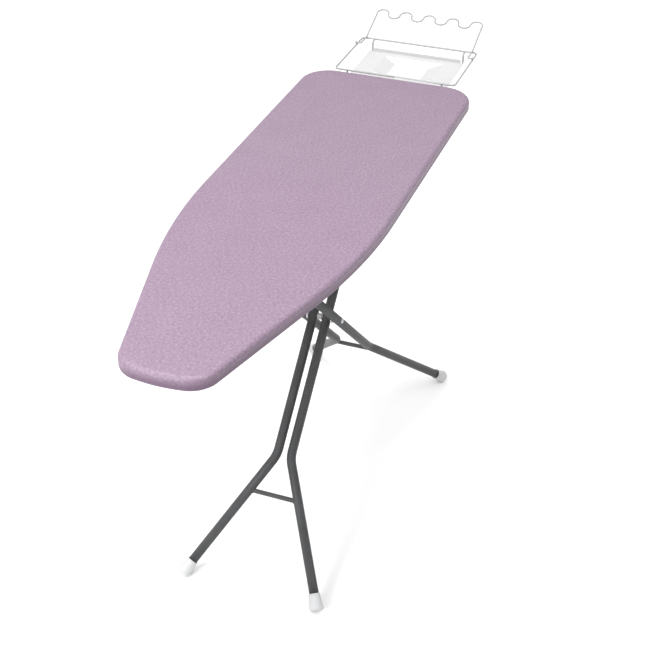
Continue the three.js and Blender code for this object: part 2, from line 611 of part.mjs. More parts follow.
function rackStations() {
  const topUp = (RACK.topX - RACK.restX) / Math.cos(RACK_SLOPE);
  const arm = (hand) => [
    new THREE.Vector3(RACK.pivotX, hand * JOURNAL_END_Y, RACK_PIVOT_Z),
    new THREE.Vector3(RACK.pivotX, hand * RACK.y, RACK_PIVOT_Z),
    new THREE.Vector3(RACK.restX - 4, hand * RACK.y, RACK_REST_Z + 0.3),
    rackPoint(topUp - 8, hand * RACK.y),
  ];
  const halfWave = RACK.pitch / 2;
  const bends = RACK.crests * 2 - 1;
  const wave = [];
  for (let i = 0; i < bends; i += 1) {
    const centreY = (i - (bends - 1) / 2) * halfWave;
    const crest = i % 2 === 0 ? 1 : -1;
    for (let k = 0; k < 6; k += 1) {
      const turn = Math.PI * ((k + 0.5) / 6);
      const up = topUp + crest * RACK.waveR * Math.sin(turn);
      wave.push(rackPoint(up, centreY - Math.cos(turn) * (halfWave / 2)));
    }
  }
  const right = bendStations(arm(-1), 4, 3);
  const left = bendStations(arm(1), 4, 3).reverse();
  return [...right, ...wave, ...left];
}
addPiece('hanger_rack', wire(rackStations(), RACK.wire, 8), 'lightCoat');

export default board;
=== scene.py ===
import json
import math
import random

import bmesh
import bpy
from mathutils import Matrix, Vector, noise


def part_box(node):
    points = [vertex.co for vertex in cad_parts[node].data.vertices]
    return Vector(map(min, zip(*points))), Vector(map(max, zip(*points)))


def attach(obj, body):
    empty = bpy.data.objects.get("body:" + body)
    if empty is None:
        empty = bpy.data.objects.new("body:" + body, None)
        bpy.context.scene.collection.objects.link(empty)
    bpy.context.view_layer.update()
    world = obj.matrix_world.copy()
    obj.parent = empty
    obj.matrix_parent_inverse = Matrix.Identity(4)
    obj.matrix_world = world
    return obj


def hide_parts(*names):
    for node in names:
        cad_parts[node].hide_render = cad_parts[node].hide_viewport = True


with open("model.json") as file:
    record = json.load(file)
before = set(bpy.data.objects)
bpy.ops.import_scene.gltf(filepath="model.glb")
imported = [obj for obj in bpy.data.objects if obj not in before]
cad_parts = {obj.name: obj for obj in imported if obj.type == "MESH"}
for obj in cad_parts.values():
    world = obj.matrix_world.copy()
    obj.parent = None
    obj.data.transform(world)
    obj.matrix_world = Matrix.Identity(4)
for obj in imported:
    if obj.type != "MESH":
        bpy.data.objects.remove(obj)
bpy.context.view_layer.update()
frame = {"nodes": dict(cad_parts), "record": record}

MM = 0.001

# ---- Studio --------------------------------------------------------------------------------
# A plain white floor under a bright ceiling that darkens towards the horizon. The key softbox
# hangs over the nose and a small fill stands in front. The camera looks down from above the nose.

CAMERA_AIM = Vector((-0.014, -0.001, 0.409))
CAMERA_AZIMUTH = math.radians(-69.6)
CAMERA_ELEVATION = math.radians(34.7)
CAMERA_DISTANCE = 2.733
CAMERA_LENS = 69.6
FLOOR_HALF = 40.0
FLOOR_WHITE = 0.92
HORIZON, ZENITH = 0.32, 2.3
KEY = {"place": (-0.75, 0.45, 3.1), "aim": (-0.5, 0, 0.7), "size": (1.1, 1.1), "watts": 48}
FILL = {"place": (-2.5, 0.6, 1.4), "aim": (-0.1, 0, 0.4), "size": (0.6, 0.6), "watts": 30}


def stand(name, data):
    thing = bpy.data.objects.new(name, data)
    bpy.context.scene.collection.objects.link(thing)
    return thing


def aim(thing, place_at, direction):
    thing.location = place_at
    thing.rotation_mode = "QUATERNION"
    thing.rotation_quaternion = direction.to_track_quat("-Z", "Y")


def place(tree, kind, inputs=(), **settings):
    """Adds a node. Its inputs are given by name or number, as values or as the outputs that feed them."""
    node = tree.nodes.new(kind)
    for name, value in settings.items():
        setattr(node, name, value)
    for name, value in dict(inputs).items():
        if isinstance(value, bpy.types.NodeSocket):
            tree.links.new(value, node.inputs[name])
        else:
            node.inputs[name].default_value = value
    return node


def maths(tree, operation, first, second=0.0):
    return place(tree, "ShaderNodeMath", {0: first, 1: second}, operation=operation).outputs[0]


def ranged(tree, value, ends, made):
    """A value carried from one range to another and kept within it."""
    return place(tree, "ShaderNodeMapRange", {
        "Value": value, "From Min": ends[0], "From Max": ends[1],
        "To Min": made[0], "To Max": made[1]}).outputs[0]


def new_paint(name, **fixed):
    """A material with its shader's own values set, and its node tree and shader."""
    paint = bpy.data.materials.new(name)
    paint.use_nodes = True
    shader = paint.node_tree.nodes["Principled BSDF"]
    for label, value in fixed.items():
        shader.inputs[label.replace("_", " ")].default_value = value
    return paint, paint.node_tree, shader


def add_camera():
    level = math.cos(CAMERA_ELEVATION)
    back = Vector((math.sin(CAMERA_AZIMUTH) * level, -math.cos(CAMERA_AZIMUTH) * level,
                   math.sin(CAMERA_ELEVATION)))
    camera = stand("camera", bpy.data.cameras.new("camera"))
    camera.data.lens = CAMERA_LENS
    aim(camera, CAMERA_AIM + back * CAMERA_DISTANCE, -back)
    bpy.context.scene.camera = camera


def add_softbox(name, box):
    lamp = bpy.data.lights.new(name, "AREA")
    lamp.shape = "RECTANGLE"
    lamp.size, lamp.size_y = box["size"]
    lamp.energy = box["watts"]
    aim(stand(name, lamp), box["place"], Vector(box["aim"]) - Vector(box["place"]))


def add_floor():
    mesh = bpy.data.meshes.new("floor")
    corners = [(x * FLOOR_HALF, y * FLOOR_HALF, 0) for x, y in ((-1, -1), (1, -1), (1, 1), (-1, 1))]
    mesh.from_pydata(corners, [], [(0, 1, 2, 3)])
    floor = stand("floor", mesh)
    white = (FLOOR_WHITE, FLOOR_WHITE, FLOOR_WHITE, 1)
    paint, _, _ = new_paint("white floor", Base_Color=white, Roughness=0.8, Specular_IOR_Level=0.1)
    mesh.materials.append(paint)


def add_ceiling():
    """A surround whose brightness grows with the square of the height above the horizon."""
    world = bpy.data.worlds.new("studio")
    world.use_nodes = True
    tree = world.node_tree
    direction = place(tree, "ShaderNodeTexCoord").outputs["Generated"]
    split = place(tree, "ShaderNodeSeparateXYZ", {0: direction})
    squared = maths(tree, "POWER", maths(tree, "MAXIMUM", split.outputs["Z"]), 2.0)
    sky = tree.nodes["Background"].inputs
    sky["Color"].default_value = (1, 1, 1, 1)
    tree.links.new(ranged(tree, squared, (0, 1), (HORIZON, ZENITH)), sky["Strength"])
    bpy.context.scene.world = world


add_camera()
add_floor()
add_softbox("key softbox", KEY)
add_softbox("fill softbox", FILL)
add_ceiling()
bpy.context.scene.view_settings.view_transform = "Standard"

# ---- Cotton cover --------------------------------------------------------------------------
# One piece of heathered lilac cotton, pulled over the padded board and turned in under the
# rim. An elastic in the rolled hem gathers the spare cloth, most of all round the corners, and
# one row of stitches closes the hem.

NOSE_TIP = Vector((-760.6, 0)) * MM
NOSE_CORNER = Vector((-751.4, 78.4)) * MM
SHOULDER = Vector((-311.1, 197.1)) * MM
TAIL_CORNER = Vector((448.8, 199.3)) * MM
CORNER_RADII = [r * MM for r in (260, 53.5, 1209, 67.8, 67.8, 1209, 53.5)]
ARC_STEPS = 60
COVER_POINTS = 1200
SPINE_FROM, SPINE_TO = -0.62, 0.30          # middle line to which the rings of the top close up
LEVEL_INSETS = [inset * MM for inset in (45, 26, 16, 10)]
RUN_INSETS = [inset * MM for inset in (9, 13, 17, 21, 24)]
WALL = [(0.3 * MM, 9 * MM), (0.0, 5 * MM)]  # inset, and height above the underside
CLOTH = 1.0 * MM
RIM_RADIUS = 10 * MM
TURN_RADIUS = 5 * MM
HEM_INSET = 28.3 * MM
HEM_RADIUS = 2.3 * MM
HEM_DROP = 1.2 * MM
HEM_ROLL = (160, 320, 8)                    # degrees at the start and round, and steps
CROWN = 1.2 * MM                            # fall of the pad towards the rim
CROWN_REACH = 25 * MM
MERGED = 0.02 * MM                          # points nearer than this are one
SLACK = 0.35 * MM                           # lie of the cloth on the felt
PLEAT_LENGTHS = (9 * MM, 15 * MM)
PLEAT_DEPTH = 2.6 * MM
PLEAT_PULL = 1.2 * MM
STRAIGHT_TIGHTNESS = 0.25
TIGHT_CURVATURE = 15.0
STITCH = {"pitch": 4.2 * MM, "length": 3.0 * MM, "thickness": 0.7 * MM}
STITCH_INSET, STITCH_PROUD, STITCH_PLEATING = 23.6 * MM, 0.1 * MM, 0.84
SMOOTH_BELOW = math.radians(40)             # edges that turn more than this stay sharp
BOARD_LOW, BOARD_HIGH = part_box("cover")


def mirrored(point):
    return Vector((point.x, -point.y))


def corner_arc(before, corner, after, radius):
    """The round end of a corner: points with their outward directions and the curvature."""
    to_before, to_after = (before - corner).normalized(), (after - corner).normalized()
    half_angle = to_before.angle(to_after) / 2
    centre = corner + (to_before + to_after).normalized() * (radius / math.sin(half_angle))
    first = corner + to_before * (radius / math.tan(half_angle)) - centre
    last = corner + to_after * (radius / math.tan(half_angle)) - centre
    turn = first.angle_signed(last)
    arc = []
    for step in range(ARC_STEPS + 1):
        out = first.normalized()
        out.rotate(Matrix.Rotation(-turn * step / ARC_STEPS, 2))
        arc.append((centre + out * radius, out, 1 / radius))
    return arc


def board_outline(count):
    """Evenly spaced points round the board, each with its outward direction and its curvature."""
    corners = [NOSE_TIP, mirrored(NOSE_CORNER), mirrored(SHOULDER), mirrored(TAIL_CORNER),
               TAIL_CORNER, SHOULDER, NOSE_CORNER]
    dense = []
    for i, corner in enumerate(corners):
        dense += corner_arc(corners[i - 1], corner, corners[(i + 1) % len(corners)], CORNER_RADII[i])
    dense = dense[ARC_STEPS // 2:] + dense[:ARC_STEPS // 2]         # from the very tip of the nose
    lengths = [(dense[(i + 1) % len(dense)][0] - point).length for i, (point, _, _) in enumerate(dense)]
    step = sum(lengths) / count
    outline, i, walked = [], 0, 0.0
    for k in range(count):
        while walked + lengths[i] < k * step:
            walked += lengths[i]
            i += 1
        share = (k * step - walked) / max(lengths[i], 1e-9)
        (p, out, bend), (q, next_out, next_bend) = dense[i], dense[(i + 1) % len(dense)]
        straight = lengths[i] > 4 * step
        curvature = 0.0 if straight else bend + (next_bend - bend) * share
        outline.append((p.lerp(q, share), out.lerp(next_out, share).normalized(), curvature))
    return outline


def quarter(centre_inset, centre_z, radius, start, steps):
    """A quarter turn of the section, from a start angle, as (inset, height) points."""
    turns = [math.radians(start - 90 * step / steps) for step in range(1, steps + 1)]
    return [(centre_inset - radius * math.cos(a), centre_z + radius * math.sin(a)) for a in turns]


def crown_fall(inset):
    return CROWN * math.exp(-inset / CROWN_REACH)


def cover_section():
    """The cover's section from the flat top to the rolled hem: (inset, height, pleating)."""
    top, under = BOARD_HIGH.z, BOARD_LOW.z
    flat = [(inset, top - crown_fall(inset)) for inset in LEVEL_INSETS]
    shoulder_z = top - RIM_RADIUS
    rim = []
    for inset, z in quarter(RIM_RADIUS, shoulder_z, RIM_RADIUS, 90, 8):
        rim.append((inset, shoulder_z + (z - shoulder_z) * (1 - crown_fall(RIM_RADIUS) / RIM_RADIUS)))
    wall = [(inset, under + height) for inset, height in WALL]
    turn = quarter(TURN_RADIUS, under + TURN_RADIUS, TURN_RADIUS, 0, 4)
    run = [(inset, under) for inset in RUN_INSETS]
    hem_z = under - HEM_DROP
    start, turned, steps = HEM_ROLL
    roll = []
    for step in range(steps + 1):
        angle = math.radians(start + turned * step / steps)
        roll.append((HEM_INSET + HEM_RADIUS * math.cos(angle), hem_z + HEM_RADIUS * math.sin(angle)))
    section = [(inset, z, 0.0) for inset, z in flat + rim]
    section += [(inset, z, 0.06) for inset, z in wall]
    section += [(inset, z, 0.1 + 0.04 * i) for i, (inset, z) in enumerate(turn)]
    section += [(inset, z, 0.3 + 0.14 * i) for i, (inset, z) in enumerate(run)]
    return section + [(inset, z, 1.0) for inset, z in roll]


def pleats(outline, seed):
    """For each point of the outline, how far the cloth hangs between two gathers, from 0 to 1."""
    rng = random.Random(seed)
    step = (outline[1][0] - outline[0][0]).length
    folds, length = [], 0.0
    while length < step * len(outline):
        folds.append((rng.uniform(*PLEAT_LENGTHS), rng.uniform(0.55, 1.0)))
        length += folds[-1][0]
    stretch = step * len(outline) / length
    reach = 12
    hang, i, walked = [], 0, 0.0
    for k in range(len(outline)):
        while i < len(folds) - 1 and walked + folds[i][0] * stretch < k * step:
            walked += folds[i][0] * stretch
            i += 1
        swing = math.sin(math.pi * min(1.0, (k * step - walked) / (folds[i][0] * stretch))) ** 2
        near = [outline[(k + j) % len(outline)][2] for j in range(-reach, reach + 1)]
        tight = min(1.0, sum(near) / len(near) / TIGHT_CURVATURE)
        hang.append(folds[i][1] * swing * (STRAIGHT_TIGHTNESS + (1 - STRAIGHT_TIGHTNESS) * tight))
    return hang


def under_board(outline, hang, inset, z, pleating):
    """A ring of the cover, with its pleats."""
    ring = []
    for (point, out, _), fold in zip(outline, hang):
        at = point - out * (inset + PLEAT_PULL * pleating * fold)
        ring.append(Vector((at.x, at.y, z - PLEAT_DEPTH * pleating * fold)))
    return ring


def towards_spine(outline, share, z, slack=0.0):
    """A ring of the top between the innermost level ring and the middle line."""
    ring = []
    for point, out, _ in outline:
        edge = point - out * LEVEL_INSETS[0]
        spine = Vector((min(max(point.x, SPINE_FROM), SPINE_TO), 0))
        at = edge.lerp(spine, share)
        ring.append(Vector((at.x, at.y, z + slack * noise.noise(Vector((at.x * 9, at.y * 9, 0))))))
    return ring


def ring_mesh(name, rings, flat_rings=None):
    """Skin over successive rings, inside to outside. Equal points are merged, and the flat rings
    give the pattern that the cloth was cut to."""
    count = len(rings[0])
    mesh = bpy.data.meshes.new(name)
    faces = []
    for here in range(0, (len(rings) - 1) * count, count):
        for i in range(count):
            faces.append((here + i, here + count + i, here + count + (i + 1) % count, here + (i + 1) % count))
    mesh.from_pydata([point for ring in rings for point in ring], [], faces)
    if flat_rings:
        pattern = [point for ring in flat_rings for point in ring]
        cut = mesh.uv_layers.new(name="cut")
        for loop in mesh.loops:
            cut.data[loop.index].uv = pattern[loop.vertex_index]
    work = bmesh.new()
    work.from_mesh(mesh)
    bmesh.ops.remove_doubles(work, verts=work.verts, dist=MERGED)
    work.to_mesh(mesh)
    work.free()
    mesh.shade_smooth()
    return mesh


def new_piece(name, mesh, paint):
    mesh.materials.append(paint)
    return stand(name, mesh)


def thicken(piece, thickness):
    """Gives a skin its thickness, inwards."""
    skin = piece.modifiers.new("thickness", "SOLIDIFY")
    skin.thickness, skin.offset = thickness, -1
    return piece


def seat(piece, body, slot, *nodes):
    """Hangs a piece on what it moves with and hides the CAD pieces it stands for. The slot is not used."""
    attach(piece, body)
    if nodes:
        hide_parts(*nodes)


SOCKETS = {float: "NodeSocketFloat", int: "NodeSocketInt", bool: "NodeSocketBool", tuple: "NodeSocketColor"}


def new_tree(name, kind, inputs, outputs):
    """A node group with named sockets: {name: its value or socket type} in, {name: socket type} out."""
    tree = bpy.data.node_groups.new(name, kind)
    for label, given in inputs.items():
        plain = not isinstance(given, str)
        socket_type = SOCKETS[type(given)] if plain else given
        socket = tree.interface.new_socket(name=label, in_out="INPUT", socket_type=socket_type)
        if plain:
            socket.default_value = given
    for label, socket_type in outputs.items():
        tree.interface.new_socket(name=label, in_out="OUTPUT", socket_type=socket_type)
    return tree, tree.nodes.new("NodeGroupInput").outputs, tree.nodes.new("NodeGroupOutput").inputs


def mixed(tree, share, first, second):
    """Two colours mixed. They are the seventh and eighth sockets of the node."""
    return place(tree, "ShaderNodeMix", {0: share, 6: first, 7: second}, data_type="RGBA").outputs[2]


def woven_cloth():
    """Yarn of two shades, with slubs and a plain weave, and painted shade that darkens the wall towards its
    foot.
    """
    tree, given, made = new_tree(
        "woven cloth", "ShaderNodeTree",
        {"Ground": (0.5, 0.4, 0.5, 1), "Pale Yarn": (0.7, 0.6, 0.7, 1), "Dark Yarn": (0.3, 0.2, 0.3, 1),
         "Fleck": 1.0, "Threads": 900.0, "Mottle": 0.3, "Painted Shade Top": 0.791, "Painted Shade Bottom": 0.776},
        {"Color": "NodeSocketColor", "Roughness": "NodeSocketFloat", "Height": "NodeSocketFloat"})
    at = place(tree, "ShaderNodeTexCoord")
    pattern = at.outputs["UV"]
    yarns = place(tree, "ShaderNodeTexNoise", {
        "Vector": pattern, "Scale": 190.0, "Detail": 4.0, "Roughness": 0.85}, noise_dimensions="2D")
    flecks = yarns.outputs["Fac"]
    pale = ranged(tree, flecks, (0.53, 0.68), (0, 0.8))
    dark = ranged(tree, flecks, (0.47, 0.33), (0, 0.8))
    cloud = place(tree, "ShaderNodeTexNoise", {
        "Vector": pattern, "Scale": 14.0, "Detail": 4.0, "Roughness": 0.6}, noise_dimensions="2D")
    height = place(tree, "ShaderNodeSeparateXYZ", {0: at.outputs["Object"]})
    # Painted shade: below the top height the colour is mixed towards the dark yarn, most at the bottom height,
    # standing in for the shade down the cover's wall.
    painted_wall_shade = ranged(tree, height.outputs["Z"], (given["Painted Shade Top"], given["Painted Shade Bottom"]), (0, 0.8))
    colour = given["Ground"]
    for amount, much, yarn in ((cloud.outputs["Fac"], given["Mottle"], "Dark Yarn"),
                               (pale, given["Fleck"], "Pale Yarn"), (dark, given["Fleck"], "Dark Yarn")):
        colour = mixed(tree, maths(tree, "MULTIPLY", amount, much), colour, given[yarn])
    tree.links.new(mixed(tree, painted_wall_shade, colour, given["Dark Yarn"]), made["Color"])
    split = place(tree, "ShaderNodeSeparateXYZ", {0: pattern})
    waves = [maths(tree, "SINE", maths(tree, "MULTIPLY", split.outputs[axis], given["Threads"]))
             for axis in "XY"]
    weave = maths(tree, "MULTIPLY", waves[0], waves[1])
    tree.links.new(maths(tree, "ADD", weave, maths(tree, "MULTIPLY", flecks, 3.0)), made["Height"])
    tree.links.new(ranged(tree, flecks, (0, 1), (0.34, 0.5)), made["Roughness"])
    return tree


WOVEN_CLOTH = woven_cloth()


def textured_paint(name, texture, values, strength, depth, **fixed):
    """A material whose colour, roughness and relief come from a shader group."""
    paint, tree, shader = new_paint(name, **fixed)
    opaque = {label: (*value, 1) if isinstance(value, tuple) else value for label, value in values.items()}
    skin = place(tree, "ShaderNodeGroup", opaque, node_tree=texture)
    bump = place(tree, "ShaderNodeBump", {
        "Height": skin.outputs["Height"], "Strength": strength, "Distance": depth})
    tree.links.new(skin.outputs["Color"], shader.inputs["Base Color"])
    tree.links.new(skin.outputs["Roughness"], shader.inputs["Roughness"])
    tree.links.new(bump.outputs[0], shader.inputs["Normal"])
    return paint


# The default heights lie below the board, so these cloths get no painted shade.
def cloth_paint(name, ground, pale, dark, fleck, threads, mottle, depth, sheen, shade_top=0.2, shade_bottom=0.1):
    values = {"Ground": ground, "Pale Yarn": pale, "Dark Yarn": dark, "Fleck": fleck, "Threads": threads,
              "Mottle": mottle, "Painted Shade Top": shade_top, "Painted Shade Bottom": shade_bottom}
    return textured_paint(name, WOVEN_CLOTH, values, 0.5, depth, Sheen_Weight=sheen, Sheen_Roughness=0.45,
                          Sheen_Tint=(1, 0.95, 1, 1), Specular_IOR_Level=0.42)


# The last two numbers are the heights between which the cover's wall is darkened with painted shade.
LILAC_COTTON = cloth_paint("heathered lilac cotton", (0.231, 0.166, 0.225), (0.41, 0.33, 0.41),
                           (0.090, 0.045, 0.088), 0.5, 5200.0, 0.2, 0.10 * MM, 0.06, 0.791, 0.776)
COVER_OUTLINE = board_outline(COVER_POINTS)
PLEATS = pleats(COVER_OUTLINE, seed=7)


def make_cover():
    section = cover_section()
    rings = [towards_spine(COVER_OUTLINE, share, BOARD_HIGH.z, SLACK) for share in (1.0, 0.7, 0.35)]
    cut = [[point.xy for point in ring] for ring in rings]
    rings += [under_board(COVER_OUTLINE, PLEATS, *station) for station in section]
    walked = -section[0][0]
    for i, (inset, z, _) in enumerate(section):
        if i > 0:
            walked += math.dist((inset, z), section[i - 1][:2])
        cut.append([point + out * walked for point, out, _ in COVER_OUTLINE])
    cover = new_piece("cotton_cover", ring_mesh("cotton_cover", rings, cut), LILAC_COTTON)
    return thicken(cover, CLOTH), walked


cotton_cover, turned_in = make_cover()


def one_paint(tree, geometry, given, socket):
    """Ends a geometry tree with real geometry in the given paint."""
    real = place(tree, "GeometryNodeRealizeInstances", {0: geometry})
    painted = place(tree, "GeometryNodeSetMaterial", {"Geometry": real.outputs[0], "Material": given["paint"]})
    tree.links.new(painted.outputs[0], socket)
    return tree


def stitch_row():
    """Stitches of one length laid end to end along a line, each on the line's own heading."""
    tree, given, made = new_tree("stitch row", "GeometryNodeTree", {
        "Line": "NodeSocketGeometry", "pitch": 4 * MM, "length": 3 * MM, "thickness": 0.7 * MM,
        "paint": "NodeSocketMaterial"}, {"Stitches": "NodeSocketGeometry"})
    line = place(tree, "GeometryNodeMeshToCurve", {"Mesh": given["Line"]})
    steps = place(tree, "GeometryNodeResampleCurve", {
        "Curve": line.outputs[0], "Length": given["pitch"]}, mode="LENGTH")
    heading = place(tree, "FunctionNodeAlignRotationToVector", {
        "Vector": place(tree, "GeometryNodeInputTangent").outputs[0]}, axis="X")
    size = place(tree, "ShaderNodeCombineXYZ", {
        "X": given["length"], "Y": given["thickness"], "Z": given["thickness"]})
    bead = place(tree, "GeometryNodeMeshUVSphere", {"Segments": 6, "Rings": 4, "Radius": 0.5})
    stitches = place(tree, "GeometryNodeInstanceOnPoints", {
        "Points": steps.outputs[0], "Instance": bead.outputs[0],
        "Rotation": heading.outputs[0], "Scale": size.outputs[0]})
    return one_paint(tree, stitches.outputs[0], given, made["Stitches"])


def line_mesh(name, points, closed=False):
    mesh = bpy.data.meshes.new(name)
    edges = [(i, i + 1) for i in range(len(points) - 1)]
    mesh.from_pydata(points, edges + ([(len(points) - 1, 0)] if closed else []), [])
    return mesh


def grow(name, source, tree, values, paint):
    """A plain piece of what a geometry tree makes from a source mesh."""
    piece = stand(name, source)
    step = piece.modifiers.new("grow", "NODES")
    step.node_group = tree
    sockets = {item.name: item.identifier for item in tree.interface.items_tree if item.in_out == "INPUT"}
    for label, value in {**values, "paint": paint}.items():
        step[sockets[label]] = value
    grown = bpy.data.meshes.new_from_object(piece.evaluated_get(bpy.context.evaluated_depsgraph_get()))
    piece.modifiers.clear()
    piece.data = grown
    grown.name = name
    work = bmesh.new()
    work.from_mesh(grown)
    bmesh.ops.recalc_face_normals(work, faces=work.faces)
    work.to_mesh(grown)
    work.free()
    grown.shade_smooth()
    grown.set_sharp_from_angle(angle=SMOOTH_BELOW)
    return piece


thread_cloth = cloth_paint("lilac thread", (0.52, 0.42, 0.51), (0.66, 0.58, 0.66), (0.4, 0.3, 0.4),
                           0.5, 5200.0, 0.2, 0.05 * MM, 0.2)
stitch_line = under_board(COVER_OUTLINE, PLEATS, STITCH_INSET, BOARD_LOW.z - STITCH_PROUD, STITCH_PLEATING)
hem_stitches = grow("hem_stitches", line_mesh("hem_stitches", stitch_line, closed=True), stitch_row(),
                    STITCH, thread_cloth)
seat(cotton_cover, "board", "cotton_cover", "cover")
seat(hem_stitches, "board", "cotton_cover")

# ---- Felt pad ------------------------------------------------------------------------------
# A thick needled felt, cut to the board's outline and laid loose on the steel top. The cover
# pulls its edge down, so it is rounded at the rim.

RIM_POINTS = 300
PAD_LOW, PAD_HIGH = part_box("foam_pad")
PAD_INSET = 1.8 * MM
PAD_EDGE = RIM_RADIUS - PAD_INSET
PAD_FELT_PAINT = cloth_paint("needled felt", (0.78, 0.74, 0.64), (0.88, 0.85, 0.76), (0.6, 0.56, 0.47),
                             0.9, 2600.0, 0.4, 0.4 * MM, 0.1)
RIM_OUTLINE = board_outline(RIM_POINTS)


def level_ring(inset, z):
    return under_board(RIM_OUTLINE, [0.0] * RIM_POINTS, inset, z, 0)


def make_pad():
    below = [(inset * MM, PAD_LOW.z) for inset in (45, 20, 4)] + [(PAD_INSET, PAD_LOW.z + 0.6 * MM)]
    edge = quarter(RIM_RADIUS, PAD_HIGH.z - PAD_EDGE, PAD_EDGE, 90, 7)
    edge = [(inset, z - crown_fall(inset)) for inset, z in edge if z > PAD_LOW.z + 1 * MM][::-1]
    above = [(inset * MM, PAD_HIGH.z - crown_fall(inset * MM)) for inset in (10, 26, 45)]
    rings = [towards_spine(RIM_OUTLINE, share, PAD_HIGH.z) for share in (1.0, 0.5)]
    rings += [level_ring(*station) for station in (edge + above)[::-1] + below[::-1]]
    rings += [towards_spine(RIM_OUTLINE, share, PAD_LOW.z) for share in (0.5, 1.0)]
    flat = [[point.xy for point in ring] for ring in rings]
    return new_piece("pad_felt", ring_mesh("pad_felt", rings, flat), PAD_FELT_PAINT)


pad_felt = make_pad()
seat(pad_felt, "board", "pad_foam", "foam_pad")

# ---- Steel top -----------------------------------------------------------------------------
# A pressed tray of thin steel in dark grey powder coat. The middle is slit and drawn out into
# lozenges so that steam escapes, and a plain band runs round it down into the rim and flange.

TRAY_LOW, TRAY_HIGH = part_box("board_panel")
SHEET = 0.8 * MM
BAND_INSET = 18 * MM
LOZENGE = {"length": 26 * MM, "width": 13 * MM, "strand": 2.4 * MM}
LOZENGE_MARGIN = 9 * MM


def coat_grain():
    """Fine orange peel of a sprayed or moulded skin, with rubbed and dusty patches."""
    tree, given, made = new_tree(
        "coat grain", "ShaderNodeTree",
        {"Colour": (0.1, 0.1, 0.1, 1), "Rubbed": (0.2, 0.2, 0.2, 1), "Rubbing": 0.3, "Grain": 900.0,
         "Smooth": 0.4, "Rough": 0.55},
        {"Color": "NodeSocketColor", "Roughness": "NodeSocketFloat", "Height": "NodeSocketFloat"})
    at = place(tree, "ShaderNodeTexCoord").outputs["Object"]
    patches = place(tree, "ShaderNodeTexNoise", {
        "Vector": at, "Scale": 22.0, "Detail": 5.0, "Roughness": 0.65}).outputs["Fac"]
    rubbed = maths(tree, "MULTIPLY", ranged(tree, patches, (0.42, 0.68), (0, 1)), given["Rubbing"])
    tree.links.new(mixed(tree, rubbed, given["Colour"], given["Rubbed"]), made["Color"])
    tree.links.new(ranged(tree, patches, (0.3, 0.7), (given["Smooth"], given["Rough"])), made["Roughness"])
    peel = place(tree, "ShaderNodeTexNoise", {"Vector": at, "Scale": given["Grain"], "Detail": 2.0})
    tree.links.new(peel.outputs["Fac"], made["Height"])
    return tree


COAT_GRAIN = coat_grain()


def coated_paint(name, colour, rubbed, rubbing, grain, smooth, rough, depth, **fixed):
    values = {"Colour": colour, "Rubbed": rubbed, "Rubbing": rubbing,
              "Grain": grain, "Smooth": smooth, "Rough": rough}
    return textured_paint(name, COAT_GRAIN, values, 0.4, depth, **fixed)


DARK_COAT = coated_paint("dark grey powder coat", (0.054, 0.055, 0.057), (0.095, 0.095, 0.10), 0.35,
                         1400.0, 0.38, 0.5, 0.05 * MM, Specular_IOR_Level=0.25)


def drawn_lozenges():
    """Lozenges of flat strand wherever their middles fall on the source face."""
    tree, given, made = new_tree("drawn lozenges", "GeometryNodeTree", {
        "Face": "NodeSocketGeometry", "length": 0.026, "width": 0.013, "strand": 0.0024, "sheet": 0.0008,
        "span x": 1.2, "span y": 0.4, "middle x": 0.0, "height": 0.78, "paint": "NodeSocketMaterial"},
        {"Lozenges": "NodeSocketGeometry"})
    counts, fitted = [], []
    for span, pitch in (("span x", "length"), ("span y", "width")):
        whole = maths(tree, "DIVIDE", given[span], given[pitch])
        counts.append(place(tree, "FunctionNodeFloatToInt", {0: whole}, rounding_mode="FLOOR").outputs[0])
        fitted.append(maths(tree, "MULTIPLY", maths(tree, "SUBTRACT", counts[-1], 1.0), given[pitch]))
    grid = place(tree, "GeometryNodeMeshGrid", {
        "Size X": fitted[0], "Size Y": fitted[1], "Vertices X": counts[0], "Vertices Y": counts[1]})
    middle = place(tree, "ShaderNodeCombineXYZ", {"X": given["middle x"], "Z": given["height"]})
    moved = place(tree, "GeometryNodeTransform", {
        "Geometry": grid.outputs[0], "Translation": middle.outputs[0]})
    points = place(tree, "GeometryNodeMeshToPoints", {"Mesh": moved.outputs[0]})
    above = place(tree, "ShaderNodeVectorMath", {
        0: place(tree, "GeometryNodeInputPosition").outputs[0], 1: (0, 0, 1)}, operation="ADD")
    under = place(tree, "GeometryNodeRaycast", {
        "Target Geometry": given["Face"], "Source Position": above.outputs[0],
        "Ray Direction": (0, 0, -1), "Ray Length": 2.0})
    off_face = place(tree, "FunctionNodeBooleanMath", {0: under.outputs["Is Hit"]}, operation="NOT")
    kept = place(tree, "GeometryNodeDeleteGeometry", {
        "Geometry": points.outputs[0], "Selection": off_face.outputs[0]}, domain="POINT")
    half_width = maths(tree, "MULTIPLY", given["width"], 0.5)
    path = place(tree, "GeometryNodeCurvePrimitiveQuadrilateral", {
        "Width": given["length"], "Top Height": half_width, "Bottom Height": half_width}, mode="KITE")
    section = place(tree, "GeometryNodeCurvePrimitiveQuadrilateral", {
        "Width": given["strand"], "Height": given["sheet"]}, mode="RECTANGLE")
    strand = place(tree, "GeometryNodeCurveToMesh", {
        "Curve": path.outputs[0], "Profile Curve": section.outputs[0]})
    copies = place(tree, "GeometryNodeInstanceOnPoints", {
        "Points": kept.outputs[0], "Instance": strand.outputs[0]})
    return one_paint(tree, copies.outputs[0], given, made["Lozenges"])


def make_tray():
    """The plain band, the rim and the flange, as one sheet."""
    top, under = TRAY_HIGH.z, TRAY_LOW.z
    section = [(BAND_INSET, top), (5 * MM, top), (2.9 * MM, top - 0.4 * MM), (2.0 * MM, top - 2 * MM),
               (2.0 * MM, under + 2 * MM), (2.6 * MM, under + 0.6 * MM), (4.2 * MM, under), (14 * MM, under),
               (15 * MM, under + 0.9 * MM), (14 * MM, under + 1.9 * MM)]
    rings = [level_ring(*station) for station in section]
    return thicken(new_piece("steel_tray", ring_mesh("steel_tray", rings), DARK_COAT), SHEET)


